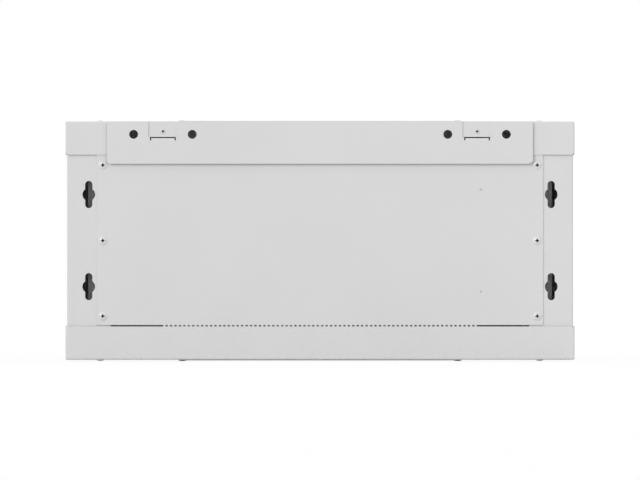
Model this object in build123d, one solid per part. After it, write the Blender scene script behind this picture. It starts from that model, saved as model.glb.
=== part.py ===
from build123d import *
import os
from math import sqrt

os.makedirs("parts", exist_ok=True)

# A 4U wall cabinet for 19 inch equipment, in millimetres. X runs across, the door faces -Y, the wall is
# behind at +Y and Z is up. The origin lies under the middle of the case, level with its lowest screw heads.
# Left and right are as seen from the front, so the right side is +X.

# Case
body_width = 600.0
body_height = 281.0
overall_depth = 450.0
sheet = 1.2
post_sheet = 1.5
bend_radius = 2.0
tray_flange = 39.3
flange_corner_width = 3.2
flange_corner_height = 6.0
tray_fit = 0.6
flat_seat = 0.3
hole_clearance = 0.2
thread_clearance = 0.05
running_clearance = 0.05
cutter_reach = 2.0

# Cover plates on the top and bottom trays
cover_width = 335.0
cover_depth = 300.0
cover_sheet = 1.1
cover_corner = 3.0
cover_screw_edge = 4.7
cutout_margin = 18.0
cutout_corner = 8.0
fan_spacing = 150.0
fan_ring_radii = (22.0, 36.0, 50.0)
fan_slot_width = 6.0
fan_spoke_width = 7.0
fan_spokes = 3
fan_screw_spacing = 105.0
fan_screw_hole = 4.5

# Screws: the head's diameter and height, and the thread's diameter and length
cover_screw_head = 9.8
cover_screw_height = 1.2
cover_screw_thread = 4.0
cover_screw_length = 7.0
tray_screw_head = 10.2
tray_screw_height = 1.5
tray_screw_thread = 6.0
tray_screw_length = 9.0
tray_screw_from_side = 41.0
tray_screw_inset = 12.0
panel_screw_head = 11.0
panel_screw_height = 2.2
panel_screw_thread = 5.0
panel_screw_length = 10.0
pad_screw_head = 6.4
pad_screw_height = 1.4
pad_screw_thread = 3.0
pad_screw_length = 6.0
head_rim_share = 0.3
tip_chamfer = 0.5

# Posts
rear_post_face = 51.9
front_post_face = 44.0
post_side_depth = 30.0
post_depth = 26.0
post_return_from_side = 26.4
post_tab_gap = 0.5
keyhole_from_side = 27.5
keyhole_spacing = 108.6
keyhole_diameter = 15.0
keyhole_slot_width = 8.5
keyhole_slot_length = 32.0

# Back panel
panel_from_side = 37.0
panel_bottom = 41.0
panel_top_drop = 30.0
panel_screw_edge = 7.0
panel_screw_end = 51.5
lip_from_edge = 78.3
lip_drop = 14.0
vent_pitch = 5.24
vent_width = 2.6
vent_depth = 8.0
stud_from_edge = 73.3
stud_pitch = 120.0
stud_radius = 1.4
stud_length = 12.0
stud_flange_radius = 3.0
stud_flange = 1.0

# Rear top plate with its two lanced screw pads
plate_from_side = 49.0
plate_height = 50.0
plate_corner = 4.5
pad_from_edge = 65.9
pad_width = 34.6
pad_height = 18.4
pad_depth = 1.5
pad_slope = 1.0
pad_screw_drop = 11.7
relief_width = 30.4
relief_bar = 1.4
relief_leg = 1.5
relief_height = 4.0
tongue_set = 0.8
round_hole_diameter = 10.4
round_hole_offset = 34.5
round_hole_drop = 15.3
flange_hole_diameter = 14.0
cable_notch_gap = 30.6
cable_notch_drop = 14.0
cable_notch_corner = 4.0

# Depth rails, which join the posts and carry the rack rails
side_return = 10.0
depth_rail_drop = 8.0
depth_rail_leg = 42.0
depth_rail_gap = 2.5
rail_slot_width = 6.6
rail_slot_length = 90.0
end_tab_width = 24.0
end_tab_height = 20.0
rivet_radius = 2.4
rivet_head_radius = 4.5
rivet_head = 1.3
rivet_edge = 6.5
rivet_from_return = 9.8

# 19 inch rack rails
unit_height = 44.45
rack_units = 4
rack_hole_pitch = 15.875
rack_hole_from_edge = 7.05
rack_hole_side = 9.5
rack_opening = 451.0
rack_face = 27.0
rack_leg = 32.0
rack_return = 12.0
rack_tab = 24.0
front_rail_setback = 45.0
rear_rail_setback = 75.0
rail_bolt_thread = 6.0
rail_bolt_head = 11.0
rail_bolt_height = 3.3
rail_nut_width = 10.0
rail_nut_height = 5.0

# Side panels
side_gap = 1.0
side_vent_length = 46.0
side_vent_width = 5.0
side_vent_pitch = 13.0
side_vent_count = 12
side_vent_rows = 2
side_vent_row_pitch = 62.0
side_vent_drop = 148.0
side_tab_width = 20.0
side_tab_reach = 6.0
side_tab_spacing = 200.0
side_tab_clearance = 0.5

# Quarter-turn locks: head, barrel, plug and cam
door_lock_from_side = 67.2
door_lock_head = 22.0
door_lock_head_height = 3.0
door_lock_barrel = 18.0
door_lock_plug = 12.0
door_cam_length = 34.0
side_lock_drop = 66.0
side_lock_head = 20.0
side_lock_head_height = 1.4
side_lock_barrel = 16.0
side_lock_plug = 10.0
side_cam_length = 26.0
cam_width = 14.0
cam_sheet = 2.0
cam_gap = 0.7
strike_depth = 6.0
strike_clearance = 1.5
lock_nut_height = 3.0
lock_nut_wall = 3.0
plug_square_share = 0.7
key_slot_width = 1.6
key_slot_depth = 4.0
cam_screw_thread = 4.0
cam_screw_head = 8.0
cam_screw_height = 1.6
cam_screw_length = 6.0

# Door
door_depth = 20.0
door_gap = 3.6
door_lip = 12.0
door_side_strip = 92.0
door_end_strip = 38.0
door_window_corner = 6.0
door_vent_length = 36.0
door_vent_width = 4.0
door_vent_pitch = 15.0
door_vent_count = 14
door_vent_inset = 36.0
glass_thickness = 4.0
glass_overlap = 10.0
tape_thickness = 1.0

# Hinge
hinge_from_side = 8.0
hinge_from_front = 11.0
hinge_pin_diameter = 6.0
hinge_ear_width = 30.0
hinge_ear_back = 5.0
hinge_ear_corner = 6.0
bush_wall = 1.5
bush_flange_wall = 3.5
bush_flange = 1.0
pin_collar_radius = 5.4
pin_collar = 1.6
pin_release = 6.0
guide_drop = 24.0
guide_width = 20.0
guide_height = 16.0
lug_radius = 2.0
lug_length = 16.0
lug_drop = 5.0
spring_wire = 0.9
spring_turns = 5

# Bumpers and earthing stud
bumper_from_side = 60.0
bumper_radius = 5.5
bumper_stem_radius = 2.5
earth_from_rail = 28.0
earth_inset = 40.0
earth_thread = 6.0
earth_length = 16.0
earth_nut_width = 10.0
earth_nut_height = 5.0

# Levels and planes that the pieces share
bottom = cover_screw_height + cover_sheet
top = bottom + body_height
middle = (bottom + top) / 2
half_width = body_width / 2
wall_face = overall_depth / 2
door_face = -overall_depth / 2
tray_rear = wall_face - sheet - pad_depth
tray_front = door_face + door_depth + door_gap
panel_face = tray_rear - sheet
post_rear = panel_face - sheet
post_front = tray_front + bend_radius
side_face = half_width - sheet - tray_fit
tray_screw_x = half_width - tray_screw_from_side
keyhole_x = half_width - keyhole_from_side
post_return_edge = half_width - post_return_from_side
half_panel = half_width - panel_from_side
panel_screw_x = half_panel - panel_screw_edge
half_lip = half_panel - lip_from_edge
stud_x = -(half_panel - stud_from_edge)
half_plate = half_width - plate_from_side
pad_x = half_plate - pad_from_edge
bumper_x = half_width - bumper_from_side
depth_rail_inner = rack_opening / 2 + depth_rail_gap
earth_x = -(depth_rail_inner - earth_from_rail)
door_lock_x = side_face - door_lock_from_side
rail_outer = side_face - side_return
hinge_x = -(side_face - hinge_from_side)
hinge_y = door_face + hinge_from_front
door_clear = sheet + bush_flange + flat_seat
left_and_right = (-1, 1)
along_x = Rot(0, 90, 0)
along_y = Rot(90, 0, 0)
upside_down = Rot(180, 0, 0)


def block(x, y, z):
    """A block between a low and a high limit along each axis."""
    limits = (x, y, z)
    centre = [(low + high) / 2 for low, high in limits]
    return Pos(*centre) * Box(*[high - low for low, high in limits])


def turned(*outline):
    """A piece turned about Z from half of its section, given as radius and height."""
    section = make_face(Polyline(*[(radius, 0, height) for radius, height in outline], close=True))
    return revolve(section, Axis.Z)


def folded(points, thickness, start, length, plane=Plane.XY):
    """Sheet folded along the line of its outer face and extruded along the plane's normal."""
    line = FilletPolyline(*points, radius=bend_radius)
    section = make_face(offset(line, thickness, side=Side.LEFT, closed=True))
    return extrude(plane.offset(start) * section, length)


def through(outline, thickness):
    """A cutter along Z with this outline, which passes a sheet of this thickness on both sides."""
    return extrude(outline, cutter_reach * thickness, both=True)


def hole(radius, thickness):
    """A cutter along Z for a round hole through a sheet of this thickness."""
    return through(Circle(radius), thickness)


def screw(head, height, thread, length):
    """A screw turned about Z with its seat at z = 0: domed head above, threaded shank below."""
    head_radius = head / 2
    rim = height * head_rim_share
    rise = height - rim
    crown_radius = (head_radius**2 + rise**2) / (2 * rise)
    halfway = head_radius / 2
    halfway_height = height - crown_radius + sqrt(crown_radius**2 - halfway**2)
    crown = ThreePointArc((head_radius, 0, rim), (halfway, 0, halfway_height), (0, 0, height))
    edge = Polyline(
        (0, 0, height),
        (0, 0, -length),
        (thread / 2 - tip_chamfer, 0, -length),
        (thread / 2, 0, -length + tip_chamfer),
        (thread / 2, 0, 0),
        (head_radius, 0, 0),
        (head_radius, 0, rim),
    )
    return revolve(make_face(crown + edge), Axis.Z)


def hex_nut(width, height, bore):
    """A hexagon nut standing on z = 0, with a bore for its thread."""
    hexagon = extrude(RegularPolygon(width / sqrt(3), 6), height)
    return hexagon - hole(bore / 2, height)


def save(node, *pieces):
    """Write the solids of one named piece, or of one group of like pieces."""
    solids = [solid for piece in pieces for solid in piece.solids()]
    export_step(Compound(solids) if len(solids) > 1 else solids[0], f"parts/{node}.step")


# Trays. Each is a shallow box folded from one blank, with a cut-out that its cover plate closes.


def tray():
    """The tray with its face up at z = 0 and the ear that holds the door's hinge bush."""
    shell = block((-half_width, half_width), (tray_front, tray_rear), (-tray_flange, 0))
    shell = fillet(shell.edges().filter_by(Axis.Z), bend_radius)
    face = shell.faces().sort_by(Axis.Z)[-1]
    shell = fillet(face.edges(), bend_radius)
    shell = offset(shell, -sheet, openings=shell.faces().sort_by(Axis.Z)[0])
    ear_left = -half_width + bend_radius
    ear = block(
        (ear_left, ear_left + hinge_ear_width),
        (door_face + hinge_ear_back, tray_front + bend_radius + sheet),
        (-sheet, 0),
    )
    ear = fillet(ear.edges().filter_by(Axis.Z).group_by(Axis.Y)[0], hinge_ear_corner)
    shell += ear
    bush_radius = hinge_pin_diameter / 2 + running_clearance + bush_wall
    shell -= Pos(hinge_x, hinge_y) * hole(bush_radius + thread_clearance, sheet)
    window = RectangleRounded(cover_width - 2 * cutout_margin, cover_depth - 2 * cutout_margin, cutout_corner)
    shell -= through(window, sheet)
    for place in cover_screw_places():
        shell -= place * hole(cover_screw_thread / 2 + thread_clearance, sheet)
    for x, y in tray_screw_places():
        shell -= Pos(x, y) * hole(tray_screw_thread / 2 + hole_clearance, sheet)
    for side in left_and_right:
        stem_hole = along_y * hole(bumper_stem_radius + thread_clearance, sheet)
        shell -= Pos(side * bumper_x, tray_front, -tray_flange / 2) * stem_hole
        for y, way in ((tray_front, -1), (tray_rear, 1)):
            shell -= Pos(side * half_width, y, -tray_flange) * flange_corner(side, way)
    return shell


def flange_corner(side, way):
    """A cutter that bevels the free corner of a tray's flanges, where two of them meet."""
    slope = (side * flange_corner_height, way * flange_corner_height, -flange_corner_width)
    bevel = Plane(origin=(-side * flange_corner_width, 0, 0), z_dir=slope)
    size = 2 * flange_corner_height
    return bevel * Box(size, size, size, align=(Align.CENTER, Align.CENTER, Align.MIN))


def cover_screw_places():
    """The four corners of a cover plate's screws."""
    return GridLocations(cover_width - 2 * cover_screw_edge, cover_depth - 2 * cover_screw_edge, 2, 2)


def tray_screw_places():
    """The four posts' screws, as x and y."""
    rows = (post_front + tray_screw_inset, post_rear - tray_screw_inset)
    return [(side * tray_screw_x, y) for side in left_and_right for y in rows]


def round_hole_places():
    """The x of the rear top plate's four round holes, a pair about each of its pads."""
    shifts = (-round_hole_offset, round_hole_offset)
    return [side * pad_x + shift for side in left_and_right for shift in shifts]


def top_tray():
    """The upper tray: its rear flange has a cable notch and the holes behind the rear top plate."""
    shell = tray()
    notch_width = 2 * (pad_x - round_hole_offset - cable_notch_gap)
    notch_height = 2 * (tray_flange - cable_notch_drop)
    notch = RectangleRounded(notch_width, notch_height, cable_notch_corner)
    shell -= Pos(0, tray_rear, -tray_flange) * along_y * through(notch, sheet)
    clear = along_y * hole(flange_hole_diameter / 2, sheet)
    for x in round_hole_places():
        shell -= Pos(x, tray_rear, -round_hole_drop) * clear
    tapped = along_y * hole(pad_screw_thread / 2 + thread_clearance, sheet)
    for side in left_and_right:
        shell -= Pos(side * pad_x, tray_rear, -pad_screw_drop) * tapped
    return Pos(0, 0, top) * shell


def bottom_tray():
    """The lower tray, face down, with a hole for the earthing stud."""
    shell = mirror(tray(), about=Plane.XY)
    shell -= Pos(earth_x, tray_rear - earth_inset) * hole(earth_thread / 2 + thread_clearance, sheet)
    return Pos(0, 0, bottom) * shell


def cover_plate():
    """A flat cover plate standing on z = 0, with a hole for each of its screws."""
    plate = extrude(RectangleRounded(cover_width, cover_depth, cover_corner), cover_sheet)
    for place in cover_screw_places():
        plate -= place * hole(cover_screw_thread / 2 + hole_clearance, cover_sheet)
    return plate


def fan_grille():
    """The slots of one fan opening: rings cut through by the spokes that stay, and the fan's four holes."""
    rings = Sketch()
    for radius in fan_ring_radii:
        rings += Circle(radius + fan_slot_width / 2) - Circle(radius - fan_slot_width / 2)
    reach = max(fan_ring_radii) + fan_slot_width
    spoke = Pos(0, reach / 2) * Rectangle(fan_spoke_width, reach)
    for turn in range(fan_spokes):
        rings -= Rot(0, 0, turn * 360 / fan_spokes) * spoke
    for corner in GridLocations(fan_screw_spacing, fan_screw_spacing, 2, 2):
        rings += corner * Circle(fan_screw_hole / 2)
    return through(rings, cover_sheet)


def top_cover_plate():
    """The top cover plate, with slotted openings for two fans."""
    plate = cover_plate()
    for side in left_and_right:
        plate -= Pos(side * fan_spacing / 2, 0, 0) * fan_grille()
    return Pos(0, 0, top) * plate


save("top_tray", top_tray())
save("bottom_tray", bottom_tray())
save("top_cover_plate", top_cover_plate())
save("bottom_cover_plate", Pos(0, 0, bottom - cover_sheet) * cover_plate())

cover_screw = screw(cover_screw_head, cover_screw_height, cover_screw_thread, cover_screw_length)
tray_screw = screw(tray_screw_head, tray_screw_height, tray_screw_thread, tray_screw_length)
top_seat = Pos(0, 0, top + cover_sheet)
bottom_seat = Pos(0, 0, bottom - cover_sheet) * upside_down
save("top_cover_screws", *[top_seat * place * cover_screw for place in cover_screw_places()])
save("bottom_cover_screws", *[bottom_seat * place * cover_screw for place in cover_screw_places()])
save("top_tray_screws", *[Pos(x, y, top) * tray_screw for x, y in tray_screw_places()])
save("bottom_tray_screws", *[Pos(x, y, bottom) * upside_down * tray_screw for x, y in tray_screw_places()])


# Posts. Each is a folded channel with its open side turned outwards and a tab at both ends.


def post(face_y, face_width, back):
    """The right post with its face at face_y, running towards back: -1 from the wall, 1 from the door."""
    side_end = face_y + back * post_side_depth
    return_y = face_y + back * post_depth
    inner = side_face - face_width
    line = [
        (side_face, side_end),
        (side_face, face_y),
        (inner, face_y),
        (inner, return_y),
        (post_return_edge, return_y),
    ]
    if back > 0:
        line.reverse()
    low = bottom + sheet
    channel = folded(line, post_sheet, low, body_height - 2 * sheet)
    tab_y = sorted((face_y, return_y - back * (post_sheet + post_tab_gap)))
    for z in (low, top - sheet - post_sheet):
        channel += block((inner + post_sheet / 2, side_face - post_sheet / 2), tab_y, (z, z + post_sheet))
    tapped = hole(tray_screw_thread / 2 + thread_clearance, body_height)
    channel -= Pos(tray_screw_x, face_y + back * tray_screw_inset) * tapped
    rivet_hole = along_y * hole(rivet_radius + thread_clearance, post_sheet)
    for z in rivet_heights():
        channel -= Pos(rivet_x(), return_y - back * post_sheet / 2, z) * rivet_hole
    return channel


def rivet_x():
    """Where the depth rails' end tabs are riveted to the posts' returns, across."""
    return post_return_edge - rivet_from_return


def rivet_heights():
    """The heights of the rivets in the depth rails' end tabs."""
    drop = sheet + depth_rail_drop + post_sheet + end_tab_height / 2
    return (bottom + drop, top - drop)


def keyhole():
    """A cutter through a post's face: a round hole for a screw's head, with a slot above and below it."""
    slot = Rot(0, 0, 90) * SlotOverall(keyhole_slot_length, keyhole_slot_width)
    return along_y * through(Circle(keyhole_diameter / 2) + slot, post_sheet)


def rear_post():
    """The right rear post, with its two keyholes and the tapped holes for the back panel."""
    channel = post(post_rear, rear_post_face, -1)
    for up in left_and_right:
        channel -= Pos(keyhole_x, post_rear, middle + up * keyhole_spacing / 2) * keyhole()
    tapped = along_y * hole(panel_screw_thread / 2 + thread_clearance, post_sheet)
    for z in panel_screw_heights():
        channel -= Pos(panel_screw_x, post_rear, z) * tapped
    return channel


def front_post():
    """The right front post, with the slot into which the door lock's cam swings from below."""
    channel = post(post_front, front_post_face, 1)
    wall_x = side_face - front_post_face
    swing = sqrt(door_cam_length**2 - (wall_x - door_lock_x) ** 2)
    strike_y = post_front + post_sheet
    channel -= block(
        (wall_x - post_sheet, wall_x + 2 * post_sheet),
        (strike_y, strike_y + strike_depth),
        (middle - swing - strike_clearance, middle + cam_width / 2 + strike_clearance),
    )
    return channel


def panel_screw_heights():
    """The heights of the back panel's screws."""
    return (bottom + panel_screw_end, middle, top - panel_screw_end)


rear_post_right = rear_post()
front_post_right = front_post()
save("rear_post_right", rear_post_right)
save("rear_post_left", mirror(rear_post_right, about=Plane.YZ))
save("front_post_right", front_post_right)
save("front_post_left", mirror(front_post_right, about=Plane.YZ))


# Back panel, which stands on the posts' faces and tucks behind both trays' rear flanges.


def back_panel():
    """The panel, its lower lip with the row of vent slots, and the holes of its screws and studs."""
    panel_y = (panel_face - sheet, panel_face)
    shoulder = bottom + panel_bottom
    panel = block((-half_panel, half_panel), panel_y, (shoulder, top - panel_top_drop))
    panel += block((-half_lip, half_lip), panel_y, (shoulder - lip_drop, shoulder))
    slots = GridLocations(vent_pitch, 0, 2 * int(half_lip / vent_pitch), 1)
    vent = along_y * through(Rectangle(vent_width, vent_depth), sheet)
    panel -= [Pos(0, panel_face, shoulder - vent_depth / 2) * slot * vent for slot in slots]
    clear = along_y * hole(panel_screw_thread / 2 + hole_clearance, sheet)
    for x, z in panel_screw_places():
        panel -= Pos(x, panel_face, z) * clear
    stud_hole = along_y * hole(stud_radius + thread_clearance, sheet)
    for z in stud_heights():
        panel -= Pos(stud_x, panel_face, z) * stud_hole
    return panel


def panel_screw_places():
    """The six screws of the back panel, as x and z."""
    return [(side * panel_screw_x, z) for side in left_and_right for z in panel_screw_heights()]


def stud_heights():
    """The heights of the two studs inside the back panel."""
    return (middle - stud_pitch / 2, middle + stud_pitch / 2)


to_the_wall = Rot(-90, 0, 0)
panel_screw = screw(panel_screw_head, panel_screw_height, panel_screw_thread, panel_screw_length)
panel_stud = turned(
    (0, 0),
    (stud_radius, 0),
    (stud_radius, -sheet),
    (stud_flange_radius, -sheet),
    (stud_flange_radius, -sheet - stud_flange),
    (stud_radius, -sheet - stud_flange),
    (stud_radius, -stud_length),
    (0, -stud_length),
)
save("back_panel", back_panel())
on_panel = Pos(0, panel_face, 0)
panel_screws = [on_panel * Pos(x, 0, z) * to_the_wall * panel_screw for x, z in panel_screw_places()]
save("back_panel_screws", *panel_screws)
save("back_panel_studs", *[on_panel * Pos(stud_x, 0, z) * to_the_wall * panel_stud for z in stud_heights()])


# Rear top plate. It stands off the tray's flange on two lanced pads, whose screws stay below its face.


def rear_top_plate():
    """The plate, with each pad set inwards between two joggles and freed below by a narrow slot."""
    plate_y = (wall_face - sheet, wall_face)
    plate = block((-half_plate, half_plate), plate_y, (top - plate_height, top))
    plate = fillet(plate.edges().filter_by(Axis.Y).group_by(Axis.Z)[0], plate_corner)
    round_hole = along_y * hole(round_hole_diameter / 2, sheet)
    for x in round_hole_places():
        plate -= Pos(x, wall_face, top - round_hole_drop) * round_hole
    pad_low = top - pad_height
    root = pad_low - relief_height
    for side in left_and_right:
        centre = side * pad_x
        freed = Pos(centre, wall_face, (root + pad_low) / 2) * along_y
        plate -= freed * through(Rectangle(relief_width, relief_height), sheet)
        above = Pos(centre, wall_face, top - pad_height / 2) * along_y
        plate -= above * through(Rectangle(pad_width, pad_height), sheet)
        plate += pad(centre, pad_low)
        plate += tongue(centre, root, pad_low - relief_bar)
    return plate


def pad(centre, pad_low):
    """One pad: the sheet steps in at both sides, and its screw hole is in the middle."""
    low, high = centre - pad_width / 2, centre + pad_width / 2
    set_back = wall_face - pad_depth
    line = Polyline(
        (high, wall_face),
        (high - pad_slope, set_back),
        (low + pad_slope, set_back),
        (low, wall_face),
        (low, wall_face - sheet),
        (low + pad_slope, set_back - sheet),
        (high - pad_slope, set_back - sheet),
        (high, wall_face - sheet),
        close=True,
    )
    step = extrude(Pos(0, 0, pad_low) * make_face(line), pad_height)
    screw_hole = along_y * hole(pad_screw_thread / 2 + hole_clearance, sheet)
    return step - Pos(centre, set_back, top - pad_screw_drop) * screw_hole


def tongue(centre, root, tip):
    """The short tongue that the slot leaves below a pad, its free upper edge pressed slightly inwards."""
    half_tongue = relief_width / 2 - relief_leg
    line = Polyline(
        (wall_face, root),
        (wall_face - tongue_set, tip),
        (wall_face - tongue_set - sheet, tip),
        (wall_face - sheet, root),
        close=True,
    )
    return extrude(Plane.YZ.offset(centre - half_tongue) * make_face(line), 2 * half_tongue)


pad_screw = screw(pad_screw_head, pad_screw_height, pad_screw_thread, pad_screw_length)
pad_screws = [
    Pos(side * pad_x, wall_face - pad_depth, top - pad_screw_drop) * to_the_wall * pad_screw
    for side in left_and_right
]
save("rear_top_plate", rear_top_plate())
save("rear_top_plate_screws", *pad_screws)


# Depth rails. Four angles run from the front posts to the rear ones, behind the side panels.

depth_rail_front = post_front + post_depth
depth_rail_rear = post_rear - post_depth
rail_leg_height = top - sheet - depth_rail_drop
side_lock_y = (depth_rail_front + depth_rail_rear) / 2


def front_rack_bolt_y():
    """Where the front rack rails are bolted to the depth rails."""
    return tray_front + front_rail_setback + rack_leg / 2


def rear_rack_bolt_y():
    """Where the rear rack rails are bolted to the depth rails."""
    return tray_rear - rear_rail_setback - rack_leg / 2


def depth_rail():
    """The upper right depth rail, with a slot for each rack rail's bolt and a riveted tab at both ends."""
    line = [
        (rail_outer, rail_leg_height - depth_rail_leg),
        (rail_outer, rail_leg_height),
        (depth_rail_inner, rail_leg_height),
    ]
    length = depth_rail_rear - depth_rail_front
    rail = folded(line, post_sheet, -depth_rail_rear, length, Plane.XZ)
    bolt_x = rack_bolt_x()
    slot = Rot(0, 0, 90) * through(SlotOverall(rail_slot_length, rail_slot_width), post_sheet)
    for y in (front_rack_bolt_y(), rear_rack_bolt_y()):
        rail -= Pos(bolt_x, y, rail_leg_height) * slot
    tab_x = (rivet_x() + rivet_edge - end_tab_width, rivet_x() + rivet_edge)
    tab_z = (rail_leg_height - post_sheet - end_tab_height, rail_leg_height - post_sheet / 2)
    rivet_hole = along_y * hole(rivet_radius + thread_clearance, post_sheet)
    for y in (depth_rail_front, depth_rail_rear - post_sheet):
        rail += block(tab_x, (y, y + post_sheet), tab_z)
        rail -= Pos(rivet_x(), y + post_sheet / 2, rivet_heights()[1]) * rivet_hole
    return rail


def rack_bolt_x():
    """Where the rack rails' tabs are bolted, across."""
    return rack_opening / 2 + rack_face - rack_tab / 2


def lower_depth_rail():
    """The lower right depth rail, with two slots in its upright leg for the side panel's tabs."""
    rail = mirror(depth_rail(), about=Plane.XY.offset(middle))
    opening = Rectangle(sheet + 2 * side_tab_clearance, side_tab_width + 2 * side_tab_clearance)
    cutter = along_x * through(opening, post_sheet)
    for side in left_and_right:
        rail -= Pos(rail_outer, side_lock_y + side * side_tab_spacing / 2, side_tab_height()) * cutter
    return rail


def side_tab_height():
    """The middle of the side panel's lower flange, from which its tabs are cut."""
    return bottom + tray_flange + side_gap + sheet / 2


def rivets():
    """A rivet with a head on each side, through a depth rail's end tab and a post's return."""
    grip = 2 * post_sheet
    body = turned(
        (0, -rivet_head),
        (rivet_head_radius, -rivet_head),
        (rivet_head_radius, 0),
        (rivet_radius, 0),
        (rivet_radius, grip),
        (rivet_head_radius, grip),
        (rivet_head_radius - tip_chamfer, grip + rivet_head),
        (0, grip + rivet_head),
    )
    joints = [(depth_rail_front - post_sheet, 1), (depth_rail_rear + post_sheet, -1)]
    return [
        Pos(side * rivet_x(), y, z) * Rot(-90 * way, 0, 0) * body
        for side in left_and_right
        for y, way in joints
        for z in rivet_heights()
    ]


depth_rail_top_right = depth_rail()
depth_rail_bottom_right = lower_depth_rail()
save("depth_rail_top_right", depth_rail_top_right)
save("depth_rail_top_left", mirror(depth_rail_top_right, about=Plane.YZ))
save("depth_rail_bottom_right", depth_rail_bottom_right)
save("depth_rail_bottom_left", mirror(depth_rail_bottom_right, about=Plane.YZ))
save("depth_rail_rivets", *rivets())


# Rack rails. Folded uprights with square holes at the standard 19 inch pitch.

rack_rail_low = bottom + sheet + depth_rail_drop + post_sheet
rack_rail_high = top - sheet - depth_rail_drop - post_sheet


def rack_rail(face_y, back):
    """The right rack rail with its face at face_y, its leg towards back: 1 to the rear, -1 to the front."""
    inner = rack_opening / 2
    outer = inner + rack_face
    leg_y = face_y + back * rack_leg
    line = [(inner, face_y), (outer, face_y), (outer, leg_y), (outer - rack_return, leg_y)]
    if back < 0:
        line.reverse()
    rail = folded(line, post_sheet, rack_rail_low, rack_rail_high - rack_rail_low)
    tab_edge = post_sheet + post_tab_gap
    tab_y = sorted((face_y + back * tab_edge, leg_y - back * tab_edge))
    for z in (rack_rail_low, rack_rail_high - post_sheet):
        rail += block((outer - rack_tab, outer - post_sheet / 2), tab_y, (z, z + post_sheet))
    bolt_hole = hole(rail_bolt_thread / 2 + hole_clearance, body_height)
    rail -= Pos(rack_bolt_x(), face_y + back * rack_leg / 2) * bolt_hole
    square = along_y * through(Rectangle(rack_hole_side, rack_hole_side), post_sheet)
    for unit in range(rack_units):
        unit_middle = middle + (unit + 0.5 - rack_units / 2) * unit_height
        for step in (-1, 0, 1):
            rail -= Pos(inner + rack_hole_from_edge, face_y, unit_middle + step * rack_hole_pitch) * square
    return rail


def rack_bolts():
    """The bolts of all four rack rails, heads in the case and nuts between depth rail and tray."""
    grip = 2 * post_sheet + rail_nut_height
    bolt = screw(rail_bolt_head, rail_bolt_height, rail_bolt_thread, grip + tip_chamfer)
    nut = hex_nut(rail_nut_width, rail_nut_height, rail_bolt_thread + 2 * thread_clearance)
    bolts, nuts = [], []
    for side in left_and_right:
        for y in (front_rack_bolt_y(), rear_rack_bolt_y()):
            place = Pos(side * rack_bolt_x(), y, 0)
            bolts.append(place * Pos(0, 0, rack_rail_high - post_sheet) * upside_down * bolt)
            bolts.append(place * Pos(0, 0, rack_rail_low + post_sheet) * bolt)
            nuts.append(place * Pos(0, 0, rack_rail_high + post_sheet) * nut)
            nuts.append(place * Pos(0, 0, rack_rail_low - post_sheet) * upside_down * nut)
    return bolts, nuts


front_rack_rail_right = rack_rail(tray_front + front_rail_setback, 1)
rear_rack_rail_right = rack_rail(tray_rear - rear_rail_setback, -1)
rack_rail_bolts, rack_rail_nuts = rack_bolts()
save("front_rack_rail_right", front_rack_rail_right)
save("front_rack_rail_left", mirror(front_rack_rail_right, about=Plane.YZ))
save("rear_rack_rail_right", rear_rack_rail_right)
save("rear_rack_rail_left", mirror(rear_rack_rail_right, about=Plane.YZ))
save("rack_rail_bolts", *rack_rail_bolts)
save("rack_rail_nuts", *rack_rail_nuts)


# Quarter-turn locks, made along +Z with the face of the panel at z = 0 and the case below it.


def lock_barrel(head, head_height, barrel, plug, length):
    """The fixed housing: a chamfered head outside the panel and a barrel inside it, bored for the plug."""
    housing = turned(
        (plug / 2 + running_clearance, -length),
        (barrel / 2, -length),
        (barrel / 2, 0),
        (head / 2, 0),
        (head / 2, head_height - tip_chamfer),
        (head / 2 - tip_chamfer, head_height),
        (plug / 2 + running_clearance, head_height),
    )
    return housing


def lock_plug(head_height, plug, length):
    """The turning plug: a key slot outside, a squared end for the cam and the tapped hole of its screw."""
    square = plug * plug_square_share
    shoulder = -length - cam_gap
    end = shoulder - cam_sheet
    core = Pos(0, 0, shoulder) * extrude(Circle(plug / 2), head_height - flat_seat - shoulder)
    core += block((-square / 2, square / 2), (-square / 2, square / 2), (end, -length))
    core -= Pos(0, 0, head_height) * extrude(Rectangle(key_slot_width, square), -key_slot_depth)
    tapped = Circle(cam_screw_thread / 2 + thread_clearance)
    core -= Pos(0, 0, end) * extrude(tapped, cam_screw_length + tip_chamfer)
    return core


def lock_cam(plug, length, reach):
    """The cam: a flat tongue with a squared hole, pointing along +X under the barrel's end."""
    square = plug * plug_square_share + 2 * running_clearance
    tongue = Pos((reach - cam_width / 2) / 2, 0) * SlotOverall(reach + cam_width / 2, cam_width)
    tongue -= Rectangle(square, square)
    return Pos(0, 0, -length - cam_gap - cam_sheet) * extrude(tongue, cam_sheet)


def lock_nut(barrel, skin):
    """The nut that clamps the barrel to the inside of the panel."""
    nut = hex_nut(barrel + 2 * lock_nut_wall, lock_nut_height, barrel + 2 * thread_clearance)
    return Pos(0, 0, -skin) * upside_down * nut


def cam_screw(length):
    """The screw that holds the cam on the plug's end."""
    fastener = screw(cam_screw_head, cam_screw_height, cam_screw_thread, cam_screw_length)
    return Pos(0, 0, -length - cam_gap - cam_sheet) * upside_down * fastener


# Side panels. Each is a pan with vents, tabs in its lower flange and a quarter-turn lock.

side_front = post_front + post_side_depth + side_gap
side_rear = post_rear - post_side_depth - side_gap
side_low = bottom + tray_flange + side_gap
side_high = top - tray_flange - side_gap
side_lock_z = top - side_lock_drop
side_lock_length = side_face - (rail_outer - post_sheet)


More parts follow.
